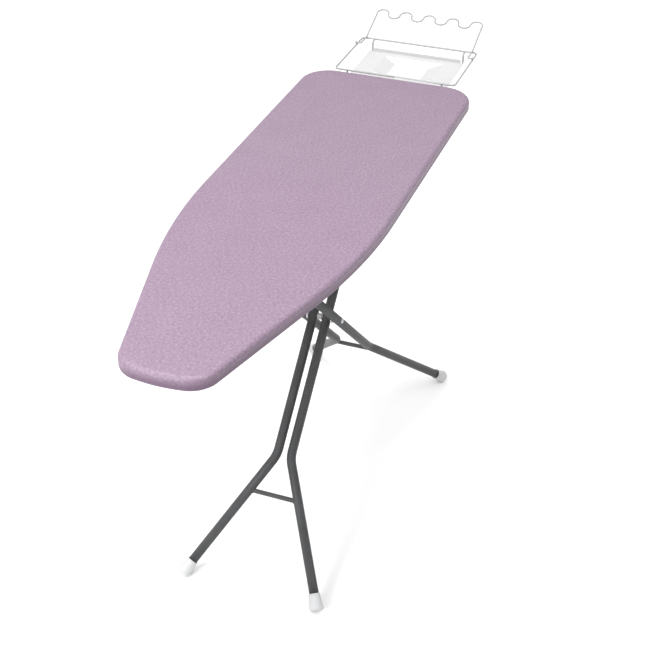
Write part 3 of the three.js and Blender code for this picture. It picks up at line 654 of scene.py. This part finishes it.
def lozenge_face():
    """The flat face on which lozenges are drawn, short of the plain band by half a lozenge."""
    edge = [point - out * (BAND_INSET + LOZENGE_MARGIN) for point, out, _ in RIM_OUTLINE[::4]]
    mesh = bpy.data.meshes.new("steel_lozenges")
    mesh.from_pydata([(p.x, p.y, TRAY_HIGH.z) for p in edge], [], [tuple(range(len(edge)))])
    return mesh


steel_tray = make_tray()
steel_lozenges = grow("steel_lozenges", lozenge_face(), drawn_lozenges(), {
    **LOZENGE, "sheet": SHEET, "span x": TRAY_HIGH.x - TRAY_LOW.x, "span y": TRAY_HIGH.y - TRAY_LOW.y,
    "middle x": (TRAY_HIGH.x + TRAY_LOW.x) / 2, "height": TRAY_HIGH.z - SHEET / 2}, DARK_COAT)
for piece in (steel_tray, steel_lozenges):
    seat(piece, "board", "dark_powder_coat", "board_panel")

# ---- Braces, height rail and leg hinge bracket ---------------------------------------------
# Folded steel channels, spot welded to the underside of the tray and coated with it. The rail's
# walls are slotted for the sliding axle, with six notches that set the height.

PRESSINGS = ("cross_brace_nose", "cross_brace_front", "cross_brace_rear", "cross_brace_tail",
             "height_rail", "leg_hinge_bracket")
FOLD_RADIUS = 0.45 * MM


def repaint(names, paint, edge=FOLD_RADIUS):
    """Gives CAD pieces their finish, and breaks their sharp edges."""
    for name in names:
        node = frame["nodes"][name]
        for holder in node.material_slots:
            holder.material = paint
        weld = node.modifiers.new("weld", "WELD")
        weld.merge_threshold = 0.001 * MM
        broken = node.modifiers.new("broken edge", "BEVEL")
        broken.width, broken.segments = edge, 2
        broken.limit_method, broken.angle_limit = "ANGLE", math.radians(35)


repaint(PRESSINGS, DARK_COAT)

# ---- Leg tubes -----------------------------------------------------------------------------
# Two pairs of round steel tube, 20 mm across. The tubes of a pair run side by side down from
# the board and bend apart near the floor. The front pair is the inner one.

TUBE_RADIUS = 10 * MM
TUBE_WALL = 1.2 * MM
TUBE_BEND = 70 * MM
TUBE_OVERRUN = 11 * MM
FIT = 0.3 * MM
LEGS = {
    "front": {"gap": 15.5 * MM, "bend": 766.5 * MM, "spread": 158.9 * MM, "rod": 852 * MM},
    "rear": {"gap": 39.8 * MM, "bend": 765.3 * MM, "spread": 184.1 * MM, "rod": 809 * MM},
}
HANDS = {"left": 1, "right": -1}
ACROSS = Vector((0, 1, 0))
FOOT = {"end": 15 * MM, "rim": 6 * MM, "length": 35 * MM, "floor": 6 * MM, "worn": 0.8 * MM}
JOINTS = {joint["name"]: Vector(joint["pos_m"]) for joint in frame["record"]["behaviour"]["joints"]}
HINGE, PIVOT = JOINTS["leg_fold"], JOINTS["leg_cross"]


def middle_of(node):
    low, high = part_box(node)
    return (low + high) / 2


TOPS = {"front": HINGE, "rear": middle_of("slider_axle")}
DOWN = {pair: (PIVOT - top).normalized() for pair, top in TOPS.items()}
TO_FLOOR = {pair: -top.z / DOWN[pair].z for pair, top in TOPS.items()}     # along the tubes, from the pin


def leg_point(pair, down, y):
    """A point of a leg pair: so far down from its top pin, and so far to the side."""
    at = TOPS[pair] + DOWN[pair] * down
    return Vector((at.x, y, at.z))


def foot_line(pair, hand):
    """The middle of a foot cap's end face, and the direction up the tube from it."""
    leg = LEGS[pair]
    on_floor = leg_point(pair, TO_FLOOR[pair], hand * leg["spread"])
    up = (leg_point(pair, leg["bend"], hand * leg["gap"]) - on_floor).normalized()
    tilt = math.hypot(up.x, up.y)
    height = FOOT["rim"] + (FOOT["end"] - FOOT["rim"]) * tilt - FOOT["rim"] * up.z - FOOT["worn"]
    return on_floor + up * (height / up.z), up


def bent_bar():
    """Round bar or wire along a line, with the line's corners bent to one radius."""
    tree, given, made = new_tree("bent bar", "GeometryNodeTree", {
        "Line": "NodeSocketGeometry", "bar radius": 0.002, "bend radius": 0.01, "bend steps": 8, "sides": 16,
        "closed ends": True, "paint": "NodeSocketMaterial"}, {"Bar": "NodeSocketGeometry"})
    line = place(tree, "GeometryNodeMeshToCurve", {"Mesh": given["Line"]})
    bends = place(tree, "GeometryNodeFilletCurve", {
        "Curve": line.outputs[0], "Radius": given["bend radius"], "Limit Radius": True,
        "Count": given["bend steps"]}, mode="POLY")
    section = place(tree, "GeometryNodeCurvePrimitiveCircle", {
        "Resolution": given["sides"], "Radius": given["bar radius"]}, mode="RADIUS")
    body = place(tree, "GeometryNodeCurveToMesh", {
        "Curve": bends.outputs[0], "Profile Curve": section.outputs[0], "Fill Caps": given["closed ends"]})
    return one_paint(tree, body.outputs[0], given, made["Bar"])


BENT_BAR = bent_bar()


def make_bar(name, points, radius, paint, bend=0.0, steps=8, sides=16, closed=False, capped=True):
    return grow(name, line_mesh(name, points, closed), BENT_BAR, {
        "bar radius": radius, "bend radius": bend, "bend steps": steps,
        "sides": sides, "closed ends": capped}, paint)


def make_leg_tube(pair, side):
    hand, leg = HANDS[side], LEGS[pair]
    end, up = foot_line(pair, hand)
    line = [leg_point(pair, -TUBE_OVERRUN, hand * leg["gap"]), leg_point(pair, leg["bend"], hand * leg["gap"]),
            end + up * (FOOT["floor"] + FIT)]
    tube = make_bar(f"{pair}_leg_{side}", line, TUBE_RADIUS, DARK_COAT, TUBE_BEND, 16, 40, capped=False)
    seat(thicken(tube, TUBE_WALL), f"{pair}_legs", "dark_powder_coat", f"{pair}_leg_tube_{side}")


for pair in LEGS:
    for side in HANDS:
        make_leg_tube(pair, side)

# ---- Spreader rods -------------------------------------------------------------------------
# A short round rod between the tubes of each pair, just below the bend. Its ends butt against
# the tubes and are welded all round, and the beads are coated with the rest.

ROD_RADIUS = 5 * MM
ROD_BEAD = {"puddle": 1.7 * MM, "proud": 0.4 * MM, "out": 0.6 * MM}


def weld_bead():
    """A ring of overlapping weld puddles on the points of the source line."""
    tree, given, made = new_tree("weld bead", "GeometryNodeTree", {
        "Line": "NodeSocketGeometry", "puddle": 0.0015, "unevenness": 0.3, "paint": "NodeSocketMaterial"},
        {"Bead": "NodeSocketGeometry"})
    points = place(tree, "GeometryNodeMeshToPoints", {"Mesh": given["Line"]})
    puddle = place(tree, "GeometryNodeMeshIcoSphere", {"Radius": given["puddle"], "Subdivisions": 2})
    least = maths(tree, "SUBTRACT", 1.0, given["unevenness"])
    size = place(tree, "FunctionNodeRandomValue", {2: least, 3: 1.0, "Seed": 3}, data_type="FLOAT")
    ring = place(tree, "GeometryNodeInstanceOnPoints", {
        "Points": points.outputs[0], "Instance": puddle.outputs[0], "Scale": size.outputs[1]})
    return one_paint(tree, ring.outputs[0], given, made["Bead"])


WELD_BEAD = weld_bead()


def ring_of(middle, along, radius, count):
    side = along.orthogonal().normalized()
    return [middle + Matrix.Rotation(2 * math.pi * i / count, 3, along) @ side * radius for i in range(count)]


def make_welds(name, seams, puddle, paint):
    """Weld beads as one piece. A seam is its middle, the direction it goes round and its radius."""
    points = []
    for middle, along, radius in seams:
        points += ring_of(middle, along, radius, max(7, round(2 * math.pi * radius / (puddle * 1.1))))
    return grow(name, line_mesh(name, points), WELD_BEAD, {"puddle": puddle, "unevenness": 0.35}, paint)


def tube_middle(pair, down):
    """How far the middle of a tube is from the middle plane, below the bend."""
    leg = LEGS[pair]
    return leg["gap"] + (leg["spread"] - leg["gap"]) * (down - leg["bend"]) / (TO_FLOOR[pair] - leg["bend"])


for pair, leg in LEGS.items():
    reach = tube_middle(pair, leg["rod"]) - TUBE_RADIUS * 0.9
    ends = [leg_point(pair, leg["rod"], y) for y in (-reach, reach)]
    rod = make_bar(f"{pair}_spreader_rod", ends, ROD_RADIUS, DARK_COAT, sides=28)
    seams = [(leg_point(pair, leg["rod"], y), ACROSS, ROD_RADIUS + ROD_BEAD["proud"])
             for y in (-reach - ROD_BEAD["out"], reach + ROD_BEAD["out"])]
    beads = make_welds(f"{pair}_spreader_welds", seams, ROD_BEAD["puddle"], DARK_COAT)
    for piece in (rod, beads):
        seat(piece, f"{pair}_legs", "dark_powder_coat", f"{pair}_cross_rod")

# ---- Foot caps -----------------------------------------------------------------------------
# Off-white moulded plastic caps pushed over the ends of the tubes. They flare towards the
# floor, have a rounded rim and a bead round the mouth, and stand on a small worn flat.

PALE_PLASTIC = coated_paint("off-white moulded plastic", (0.52, 0.525, 0.53), (0.42, 0.42, 0.41), 0.25,
                            700.0, 0.4, 0.55, 0.04 * MM, Specular_IOR_Level=0.45)


def turned_mesh(name, profile, base, along, sides=40, chamfer=0.0):
    """A turned piece on a line through base: the profile's points are (radius, distance along)."""
    mesh = bpy.data.meshes.new(name)
    turn = Vector((0, 0, 1)).rotation_difference(along).to_matrix()
    work = bmesh.new()
    rings = []
    for radius, height in profile:
        if radius == 0:
            rings.append([work.verts.new(base + turn @ Vector((0, 0, height)))] * sides)
            continue
        rings.append([])
        for i in range(sides):
            angle = 2 * math.pi * i / sides
            spot = Vector((radius * math.cos(angle), radius * math.sin(angle), height))
            rings[-1].append(work.verts.new(base + turn @ spot))
    closed = profile[0][0] > 0
    pairs = list(zip(rings, rings[1:])) + ([(rings[-1], rings[0])] if closed else [])
    for lower, upper in pairs:
        for i in range(sides):
            corners = [lower[i], lower[(i + 1) % sides], upper[(i + 1) % sides], upper[i]]
            work.faces.new(sorted(set(corners), key=corners.index))
    bmesh.ops.recalc_face_normals(work, faces=work.faces)
    if chamfer:
        sharp = [edge for edge in work.edges if edge.calc_face_angle(0) > SMOOTH_BELOW]
        bmesh.ops.bevel(work, geom=sharp, offset=chamfer, segments=2, affect="EDGES", profile=0.6)
    work.to_mesh(mesh)
    work.free()
    mesh.shade_smooth()
    mesh.set_sharp_from_angle(angle=SMOOTH_BELOW)
    return mesh


def foot_profile():
    """From the end face round the rim, up the flare and the mouth bead, and back down the bore."""
    end, rim, length, bore = FOOT["end"], FOOT["rim"], FOOT["length"], TUBE_RADIUS + FIT
    profile = [(0, 0)]
    for step in range(11):
        angle = math.pi / 2 * step / 10
        profile.append((end - rim * (1 - math.sin(angle)), rim * (1 - math.cos(angle))))
    profile += [(13.2 * MM, 20 * MM), (12.0 * MM, length - 5 * MM), (11.7 * MM, length - 3.6 * MM)]
    for step in range(7):
        angle = math.pi * step / 6 - math.pi / 2
        profile.append((11.6 * MM + 0.9 * MM * math.cos(angle),
                        length - 1.8 * MM + 1.6 * MM * math.sin(angle)))
    return profile + [(bore, length - 0.6 * MM), (bore, FOOT["floor"]), (0, FOOT["floor"])]


for pair in LEGS:
    for side, hand in HANDS.items():
        end, up = foot_line(pair, hand)
        mesh = turned_mesh(f"{pair}_foot_cap_{side}", foot_profile(), end, up, 48)
        for vertex in mesh.vertices:
            vertex.co.z = max(vertex.co.z, 0.0)
        cap = new_piece(f"{pair}_foot_cap_{side}", mesh, PALE_PLASTIC)
        seat(cap, f"{pair}_legs", "pale_plastic", f"{pair}_foot_{side}")

# ---- Pins, sleeves and washers -------------------------------------------------------------
# The leg frames hinge on a riveted pin under the board, cross on a bolt with a domed nut, and
# slide in the rail on a plain axle. Zinc plated steel turns on sleeves and plastic washers.

ZINC = coated_paint("bright zinc plate", (0.55, 0.56, 0.57), (0.38, 0.39, 0.40), 0.5,
                    500.0, 0.22, 0.42, 0.02 * MM, Metallic=1.0)
LIGHT_COAT = coated_paint("light grey powder coat", (0.30, 0.30, 0.305), (0.40, 0.40, 0.405), 0.4,
                          1400.0, 0.32, 0.46, 0.05 * MM, Specular_IOR_Level=0.5)
PLATE_COAT = coated_paint("white grey powder coat", (0.49, 0.49, 0.495), (0.54, 0.54, 0.54), 0.3,
                          1400.0, 0.42, 0.56, 0.05 * MM, Specular_IOR_Level=0.4)
DARK_PLASTIC = coated_paint("dark moulded plastic", (0.035, 0.036, 0.038), (0.08, 0.08, 0.08), 0.3,
                            800.0, 0.42, 0.6, 0.05 * MM)


SHANK = 4 * MM
NUT_LENGTH = 7 * MM
NUT_BORE = 4.3 * MM
SLEEVE_BORE = 4.4 * MM
DOME_STEPS = 6


def bush_profile(bore, radius, start, end):
    return [(bore, start), (radius, start), (radius, end), (bore, end)]


def domed(radius, base, height, towards):
    """A domed head from its rim in to the middle."""
    turns = [math.pi / 2 * step / DOME_STEPS for step in range(DOME_STEPS + 1)]
    return [(radius * math.cos(a) if a < 1.57 else 0, base + towards * height * math.sin(a)) for a in turns]


def add_turned(name, node, profile, base, body, paint, slot, sides=36, chamfer=0.0):
    seat(new_piece(name, turned_mesh(name, profile, base, ACROSS, sides, chamfer), paint), body, slot, node)


pin_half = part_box("leg_hinge_bracket")[1].y + FIT
rivet = domed(6.4 * MM, -pin_half, 3 * MM, -1)[::-1] + [(SHANK, -pin_half), (SHANK, pin_half)]
rivet += [(5.4 * MM, pin_half)] + domed(5.4 * MM, pin_half + 0.4 * MM, 1.8 * MM, 1)
add_turned("leg_hinge_rivet", "leg_hinge_pin", rivet, HINGE, "board", ZINC, "zinc_plated_steel")
sleeve_half = LEGS["front"]["gap"] - TUBE_RADIUS - FIT
sleeve = bush_profile(SLEEVE_BORE, 7 * MM, -sleeve_half, sleeve_half)
for name, node, at in (("hinge_sleeve", "leg_hinge_sleeve", HINGE), ("cross_sleeve", "pivot_sleeve", PIVOT)):
    add_turned(name, node, sleeve, at, "front_legs", LIGHT_COAT, "light_powder_coat", chamfer=0.25 * MM)
bolt_half = LEGS["rear"]["gap"] + TUBE_RADIUS + FIT
bolt_end = bolt_half + NUT_LENGTH
bolt = domed(5.8 * MM, -bolt_half, 4 * MM, -1)[::-1] + [(SHANK, -bolt_half), (SHANK, bolt_end), (0, bolt_end)]
add_turned("cross_bolt", "pivot_bolt", bolt, PIVOT, "rear_legs", ZINC, "zinc_plated_steel")
nut = [(NUT_BORE, bolt_half), (6.5 * MM, bolt_half), (6.5 * MM, bolt_half + 5 * MM)]
nut += domed(5.4 * MM, bolt_half + 5.2 * MM, 4.2 * MM, 1)[:-1] + [(NUT_BORE, bolt_half + 7.4 * MM)]
add_turned("cross_nut", "pivot_nut", nut, PIVOT, "rear_legs", ZINC, "zinc_plated_steel", 6, 0.5 * MM)
washer_in = LEGS["front"]["gap"] + TUBE_RADIUS + FIT
washer_out = LEGS["rear"]["gap"] - TUBE_RADIUS - FIT
axle_at = Vector((TOPS["rear"].x, 0, TOPS["rear"].z))
for side, hand in HANDS.items():
    washer = bush_profile(SLEEVE_BORE, 9 * MM, *sorted((hand * washer_in, hand * washer_out)))
    add_turned(f"cross_washer_{side}", f"pivot_washer_{side}", washer, PIVOT, "rear_legs",
               PALE_PLASTIC, "pale_plastic", chamfer=0.5 * MM)
    low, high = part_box(f"slider_cap_{side}")
    add_turned(f"axle_cap_{side}", f"slider_cap_{side}", bush_profile(5.3 * MM, 8.5 * MM, low.y, high.y),
               axle_at, "rear_legs", DARK_PLASTIC, "dark_plastic", chamfer=0.6 * MM)
axle_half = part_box("slider_axle")[1].y
axle = [(0, -axle_half), (5 * MM, -axle_half), (5 * MM, axle_half), (0, axle_half)]
add_turned("rail_axle", "slider_axle", axle, axle_at, "rear_legs", ZINC, "zinc_plated_steel", chamfer=0.6 * MM)

# ---- Height lock ---------------------------------------------------------------------------
# A zinc plated rod along the right side of the rail, turned by a short lever under the edge of
# the board. A toothed plate on it holds the sliding axle, and a spring returns it.

ROD_LOW, ROD_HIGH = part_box("lock_rod")
LOCK_AT = JOINTS["lock_release"]
LOCK_ROD_RADIUS = 4 * MM
SPRING = {"start": -526 * MM, "turns": 5, "pitch": 3.4 * MM, "wire": 0.9 * MM, "coil": 6.2 * MM, "steps": 28}
RIB_STEP = 6 * MM
RIB = {"bar radius": 0.8 * MM, "bend radius": 0.0, "bend steps": 1, "sides": 10, "closed ends": True}

lever_bend_x = ROD_LOW.x + LOCK_ROD_RADIUS
lock_rod = make_bar("lock_bar", [
    Vector((ROD_HIGH.x, LOCK_AT.y, LOCK_AT.z)), Vector((lever_bend_x, LOCK_AT.y, LOCK_AT.z)),
    Vector((lever_bend_x, ROD_LOW.y + 0.4 * MM, LOCK_AT.z - 4 * MM))], LOCK_ROD_RADIUS, ZINC, 9 * MM, 8, 24)
seat(lock_rod, "height_lock", "zinc_plated_steel", "lock_rod")
repaint(["lock_comb"], ZINC, 0.2 * MM)
repaint(["lever_grip"], DARK_PLASTIC, 1.6 * MM)

grip_low, grip_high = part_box("lever_grip")
rib_lines, rib_edges = [], []
for k in range(-2, 3):
    x = (grip_low.x + grip_high.x) / 2 + k * RIB_STEP
    rib_lines += [(x, y, grip_low.z) for y in (grip_low.y + 1.5 * MM, grip_high.y - 2.5 * MM)]
    rib_edges.append((len(rib_lines) - 2, len(rib_lines) - 1))
rib_mesh = bpy.data.meshes.new("lever_ribs")
rib_mesh.from_pydata(rib_lines, rib_edges, [])
seat(grow("lever_ribs", rib_mesh, BENT_BAR, RIB, DARK_PLASTIC), "height_lock", "dark_plastic")

coil = []
for i in range(SPRING["turns"] * SPRING["steps"] + 1):
    angle = 2 * math.pi * i / SPRING["steps"]
    coil.append(Vector((SPRING["start"] + SPRING["pitch"] * i / SPRING["steps"],
                        LOCK_AT.y + SPRING["coil"] * math.cos(angle),
                        LOCK_AT.z + SPRING["coil"] * math.sin(angle))))
spring = make_bar("return_spring", coil, SPRING["wire"], ZINC, sides=10)
seat(spring, "board", "zinc_plated_steel", "lock_spring")
repaint(["lock_rod_clip_front", "lock_rod_clip_rear"], DARK_PLASTIC, 0.8 * MM)

# ---- Iron rest -----------------------------------------------------------------------------
# A loop of light grey coated wire behind the board, on two wires that run under it to clamps on
# the tail brace. A sunk sheet plate carries the iron, its window lanced open into two tabs.

LOOP_LOW, LOOP_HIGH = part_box("rest_frame")
LOOP_WIRE = 2.25 * MM
LOOP_BEND = 10 * MM
SIDE_WIRE = 2.5 * MM
SIDE_BEND = 8 * MM
POST_WIRE = 2.0 * MM
RISER_OFFSET = 14 * MM
PUDDLE = 0.8 * MM
UPWARDS, BACKWARDS = Vector((0, 0, 1)), Vector((1, 0, 0))
loop_z = (LOOP_LOW.z + LOOP_HIGH.z) / 2
loop_front, loop_back = LOOP_LOW.x + LOOP_WIRE, LOOP_HIGH.x - LOOP_WIRE
loop_side = LOOP_HIGH.y - LOOP_WIRE


def rest_wire(name, line, radius, *node, bend=0.0, steps=8, sides=20, closed=False):
    wire = make_bar(name, line, radius, LIGHT_COAT, bend, steps, sides, closed)
    seat(wire, "board", "light_powder_coat", *node)


loop_corners = ((loop_front, 0), (loop_front, -loop_side), (loop_back, -loop_side), (loop_back, loop_side),
                (loop_front, loop_side))
rest_wire("rest_loop", [Vector((x, y, loop_z)) for x, y in loop_corners], LOOP_WIRE, "rest_frame",
          bend=LOOP_BEND, steps=12, closed=True)
rest_seams = []
for side in HANDS:
    low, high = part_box(f"rest_support_{side}")
    y = (low.y + high.y) / 2
    level, riser_x, top = low.z + SIDE_WIRE, loop_back - RISER_OFFSET, loop_z - 1 * MM
    line = [Vector((x, y, z)) for x, z in (
        (low.x, level), (riser_x, level), (riser_x, top), (loop_back - 1.5 * MM, top))]
    rest_wire(f"rest_side_wire_{side}", line, SIDE_WIRE, f"rest_support_{side}", bend=SIDE_BEND, steps=10)
    post = [Vector((loop_front, y, z)) for z in (level, loop_z)]
    rest_wire(f"rest_riser_{side}", post, POST_WIRE, f"rest_post_{side}", sides=18)
    rest_seams += [(Vector((loop_front, y, level + 2.4 * MM)), UPWARDS, 2.1 * MM),
                   (Vector((loop_front, y, loop_z - 2.2 * MM)), UPWARDS, 2.1 * MM),
                   (Vector((loop_back - 2.6 * MM, y, top)), BACKWARDS, 2.3 * MM)]
seat(make_welds("rest_welds", rest_seams, PUDDLE, LIGHT_COAT), "board", "light_powder_coat")
repaint(["rest_plate"], PLATE_COAT, 0.35 * MM)
repaint(["rest_clamp_left", "rest_clamp_right"], DARK_PLASTIC, 1.0 * MM)

# ---- Hanger rack ---------------------------------------------------------------------------
# One length of the same wire, bent into a row of waves that hold clothes hangers. Its two ends
# turn outwards into eyes under the loop, so the rack folds over the iron rest.

RACK_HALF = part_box("hanger_rack")[1].y
RACK_PIVOT = JOINTS["rack_fold"]
RACK_WIRE = 2.0 * MM
RACK_BEND = 4 * MM
RACK_SIDE = 134 * MM
RACK_SLOPE = math.radians(22)
RACK_TOP_X = 744.6 * MM
WAVE = {"radius": 13.4 * MM, "crests": 5, "pitch": 60 * MM, "steps": 14}
EYE_GAP = 0.35 * MM
EYE_WIRE = 0.65 * MM


def rack_line():
    rest_z = loop_z + LOOP_WIRE + FIT + RACK_WIRE
    top_up = (RACK_TOP_X - loop_back) / math.cos(RACK_SLOPE)

    def slope_point(up, y):
        return Vector((loop_back + up * math.cos(RACK_SLOPE), y, rest_z + up * math.sin(RACK_SLOPE)))

    def arm(hand):
        return [Vector((RACK_PIVOT.x, hand * RACK_HALF, RACK_PIVOT.z)),
                Vector((RACK_PIVOT.x, hand * RACK_SIDE, RACK_PIVOT.z)),
                Vector((loop_back - 4 * MM, hand * RACK_SIDE, rest_z + FIT)),
                slope_point(top_up - 8 * MM, hand * RACK_SIDE)]

    half = WAVE["pitch"] / 2
    bends = WAVE["crests"] * 2 - 1
    wave = []
    for i in range(bends):
        middle, crest = (i - (bends - 1) / 2) * half, 1 if i % 2 == 0 else -1
        for k in range(WAVE["steps"]):
            turn = math.pi * (k + 0.5) / WAVE["steps"]
            wave.append(slope_point(top_up + crest * WAVE["radius"] * math.sin(turn),
                                    middle - math.cos(turn) * half / 2))
    return arm(-1) + wave + arm(1)[::-1]


rack = make_bar("hanger_wire", rack_line(), RACK_WIRE, LIGHT_COAT, RACK_BEND, 6, 18)
seat(rack, "hanger_rack", "light_powder_coat", "hanger_rack")
for side, hand in HANDS.items():
    eye_middle = Vector((RACK_PIVOT.x, hand * loop_side, RACK_PIVOT.z))
    eye_line = ring_of(eye_middle, ACROSS, RACK_WIRE + EYE_GAP + EYE_WIRE, 28)
    rest_wire(f"rack_eye_ring_{side}", eye_line, EYE_WIRE * 1.3, f"rack_eye_{side}", sides=12, closed=True)
